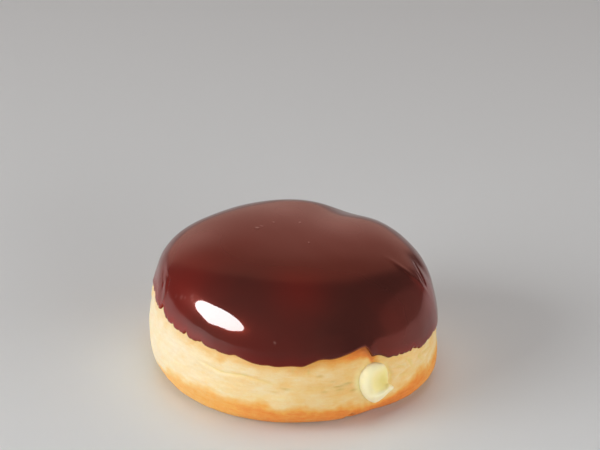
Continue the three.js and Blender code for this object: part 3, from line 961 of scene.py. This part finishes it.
def icing_material():
    material, tree, shader = new_material(
        "chocolate_icing",
        IOR=1.8,
        Specular_Tint=(1.0, 0.12, 0.06, 1.0),
        Coat_Roughness=0.035,
    )
    place = add(tree, "ShaderNodeTexCoord").outputs["Object"]
    tree.links.new(attribute(tree, "wet"), shader.inputs["Coat Weight"])
    tree.links.new(attribute(tree, "satin"), shader.inputs["Specular IOR Level"])
    cloud = noise(tree, place, 60, detail=4, roughness=0.55)
    fine = noise(tree, place, 900, detail=2)
    # The red carries the thin edge's red, a painted red glow and painted shade.
    tone = math_node(tree, "ADD", attribute(tree, "red_and_painted_glow"), swing(tree, cloud, 0.2))
    colour = ramp(tree, tone, ICING_COLOURS)
    for name, other in ICING_MARKS:
        colour = mix_colour(tree, attribute(tree, name), colour, other)
    tree.links.new(colour, shader.inputs["Base Color"])
    uneven_roughness(tree, shader, cloud, 0.18, 0.23)
    bump(tree, shader, fine, 0.03, 0.0001)
    return material


def custard_material():
    material, tree, shader = new_material(
        "custard",
        Subsurface_Weight=0.3,
        Subsurface_Radius=(1.0, 0.75, 0.3),
        Subsurface_Scale=0.0015,
        Specular_IOR_Level=0.3,
    )
    place = add(tree, "ShaderNodeTexCoord").outputs["Object"]
    cloud = noise(tree, place, 300, detail=4)
    fine = noise(tree, place, 1800, detail=2)
    # The hollow's painted shade turns the colour a deeper yellow.
    tone = math_node(tree, "ADD", attribute(tree, "hollow_shade"), swing(tree, cloud, 0.3))
    tree.links.new(ramp(tree, tone, CUSTARD_COLOURS), shader.inputs["Base Color"])
    uneven_roughness(tree, shader, cloud, 0.42, 0.55)
    bump(tree, shader, math_node(tree, "ADD", fine, cloud), 0.15, 0.0003)
    return material


# ---- pieces ----
def bake_dough():
    dough = plain_mesh("dough_bun", *dough_skin())
    boolean(dough, custard_body(-CUT_OVERLAP), "DIFFERENCE")
    points = vertices(dough)
    # Painted shade: darker brown under the icing's edge and in a dent at the foot.
    painted_shade = COLLAR_SHADE * collar_tone(points) + spots(points, BASE_SHADE)
    # Painted shade in the creases and pits, darker still in the large pits.
    cavity_shade, pit_shade = cavity_shading(points)
    set_attribute(dough, "toast", toast(points))
    set_attribute(dough, "smear", custard_smear(points))
    set_attribute(dough, "painted_shade", np.clip(painted_shade, 0, 1))
    set_attribute(dough, "cavity_shade", CAVITY_TONE * cavity_shade)
    set_attribute(dough, "pit_shade", PIT_TONE * pit_shade)
    make_piece(dough, "dough", dough_material())


def pour_icing():
    points, faces, thin = icing_skin()
    icing = plain_mesh("icing_cap", points, faces)
    wet, dull = wetness(points), dullness(icing, points)
    # The red carries the thin edge's red, a painted red glow and painted shade.
    set_attribute(icing, "red_and_painted_glow", redness(points, thin))
    set_attribute(icing, "wet", wet * (1 - DULL_COAT * dull))
    set_attribute(icing, "satin", (1 - wet) * (1 - dull))
    # Painted highlights on the bubbles and painted sheen on the crown.
    set_attribute(icing, "painted_glints", painted_glints(points))
    set_attribute(icing, "fringe", fringe(points, thin))
    make_piece(icing, "chocolate_icing", icing_material())


def fill_custard():
    custard = custard_body(0)
    custard.name = "custard_filling"
    # Painted shade in the dollop's hollow.
    set_attribute(custard, "hollow_shade", hollow_shading(vertices(custard)) ** HOLLOW_SPREAD)
    make_piece(custard, "custard", custard_material())


bake_dough()
pour_icing()
fill_custard()


# ---- floor ----
FLOOR_HALF = 3.0  # metres
floor_corners = [(x * FLOOR_HALF, y * FLOOR_HALF, 0) for x, y in ((-1, -1), (1, -1), (1, 1), (-1, 1))]
floor = plain_mesh("floor", np.array(floor_corners), [(0, 1, 2, 3)])
floor.data.materials.append(new_material("pale_floor", Base_Color=(0.76, 0.79, 0.80, 1), Roughness=0.6)[0])

# ---- camera ----
CAMERA_DISTANCE = 0.6  # metres from AIM_HEIGHT on the bun's axis
CAMERA_ELEVATION = FACE_ELEVATION  # degrees
AIM_HEIGHT = 0.020
AIM_PIXEL = (293.1, 306.3)  # where that point falls in the 600 x 450 frame, before the roll
ROLL_CENTRE = (293.0, 311.0)  # pixel
ROLL = 2.3  # degrees, right side down
FRAME_SIZE = (600, 450)
PIXEL_SIZE = 0.000319  # metres at the bun's axis
FOCAL_PIXELS = CAMERA_DISTANCE / PIXEL_SIZE
SENSOR = 36.0


def photo_camera():
    """The camera at the photo's side, rolled as the photo is."""
    data = bpy.data.cameras.new("camera")
    camera = bpy.data.objects.new("camera", data)
    bpy.context.scene.collection.objects.link(camera)
    data.sensor_width = SENSOR
    data.lens = FOCAL_PIXELS / FRAME_SIZE[0] * SENSOR
    elevation = math.radians(CAMERA_ELEVATION)
    target = Vector(AXIS) + Vector((0, 0, AIM_HEIGHT))
    towards = Vector((0, math.cos(elevation), -math.sin(elevation)))
    camera.location = target - towards * CAMERA_DISTANCE
    # The pixel of the target after the roll, as an offset from the middle of the frame.
    roll = math.radians(ROLL)
    from_centre = Vector(AIM_PIXEL) - Vector(ROLL_CENTRE)
    x = ROLL_CENTRE[0] + from_centre.x * math.cos(roll) - from_centre.y * math.sin(roll) - FRAME_SIZE[0] / 2
    y = ROLL_CENTRE[1] + from_centre.x * math.sin(roll) + from_centre.y * math.cos(roll) - FRAME_SIZE[1] / 2
    ray = Vector((x, -y, -FOCAL_PIXELS)).normalized()  # towards the target, in the camera's own axes
    upwards = Vector((0, math.sin(elevation), math.cos(elevation)))
    straight = Matrix((Vector((1, 0, 0)), upwards, -towards)).transposed()
    # First it looks straight at the target, rolled, and then it turns until the target lies along the ray.
    turn = ray.rotation_difference(Vector((0, 0, -1))).to_matrix()
    rolled = Matrix.Rotation(roll, 3, "Z")
    camera.rotation_mode = "QUATERNION"
    camera.rotation_quaternion = (straight @ rolled @ turn).to_quaternion()
    bpy.context.scene.camera = camera


photo_camera()


# ---- light ----
LAMP_AIM = 0.025  # metres above the table
# Name, azimuth, elevation, distance and size in metres, radiance, kind of surface that it lights.
LAMPS = (
    ("highlight", -158, 28, 0.55, (0.44, 0.27), 23, "gloss"),
    ("left_light", -155, 18, 1.2, (1.0, 0.8), 6.2, "matt"),
    ("front_light", -50, 12, 1.2, (1.0, 0.5), 5.1, "matt"),
    ("right_light", -10, 15, 1.2, (1.0, 0.7), 2.2, "matt"),
    ("top_light", 0, 88, 1.2, (1.0, 1.0), 1.5, "matt"),
)
ROOM_COLOUR = (0.02, 0.02, 0.02)
# Azimuth, elevation, half angle of the even middle, half angle in all, colour.
GLOWS = (
    (96, 24, 34, 40, (0.32, 0.20, 0.145)),
    (95, 0, 20, 45, (0.34, 0.26, 0.24)),
    (16, 10, 22, 27, (0.17, 0.11, 0.10)),
)


def heading(azimuth, elevation):
    """The direction of this azimuth and elevation, one unit long."""
    turn, rise = math.radians(azimuth), math.radians(elevation)
    return Vector((math.cos(turn) * math.cos(rise), math.sin(turn) * math.cos(rise), math.sin(rise)))


def area_light(name, azimuth, elevation, distance, size, radiance, seen_in):
    """An oval lamp that faces the doughnut from this side. It lights gloss alone or matt tones alone."""
    data = bpy.data.lights.new(name, "AREA")
    data.shape = "ELLIPSE"
    data.size, data.size_y = size
    data.energy = radiance * math.pi * size[0] * size[1] * math.pi / 4
    light = bpy.data.objects.new(name, data)
    bpy.context.scene.collection.objects.link(light)
    away = heading(azimuth, elevation)
    light.location = Vector(AXIS) + Vector((0, 0, LAMP_AIM)) + away * distance
    light.rotation_mode = "QUATERNION"
    light.rotation_quaternion = away.to_track_quat("Z", "Y")
    light.visible_glossy = seen_in == "gloss"
    light.visible_diffuse = seen_in == "matt"
    light.visible_camera = False


def studio():
    """A dim room with soft round glows in it."""
    world = bpy.data.worlds.new("studio")
    world.use_nodes = True
    tree = world.node_tree
    direction = add(tree, "ShaderNodeTexCoord").outputs["Generated"]
    total = add(tree, "ShaderNodeRGB").outputs["Color"]
    total.default_value = (*ROOM_COLOUR, 1)
    for azimuth, elevation, middle, whole, colour in GLOWS:
        facing = add(tree, "ShaderNodeVectorMath", operation="DOT_PRODUCT")
        facing.inputs[1].default_value = heading(azimuth, elevation)
        tree.links.new(direction, facing.inputs[0])
        soft = add(tree, "ShaderNodeMapRange", interpolation_type="SMOOTHSTEP")
        soft.inputs["From Min"].default_value = math.cos(math.radians(whole))
        soft.inputs["From Max"].default_value = math.cos(math.radians(middle))
        tree.links.new(facing.outputs["Value"], soft.inputs["Value"])
        glow = add(tree, "ShaderNodeVectorMath", operation="SCALE")
        glow.inputs[0].default_value = colour
        tree.links.new(soft.outputs["Result"], glow.inputs["Scale"])
        lighter = add(tree, "ShaderNodeVectorMath", operation="ADD")
        tree.links.new(total, lighter.inputs[0])
        tree.links.new(glow.outputs["Vector"], lighter.inputs[1])
        total = lighter.outputs["Vector"]
    tree.links.new(total, tree.nodes["Background"].inputs["Color"])
    bpy.context.scene.world = world


for lamp in LAMPS:
    area_light(*lamp)
studio()
bpy.context.scene.view_settings.view_transform = "Standard"
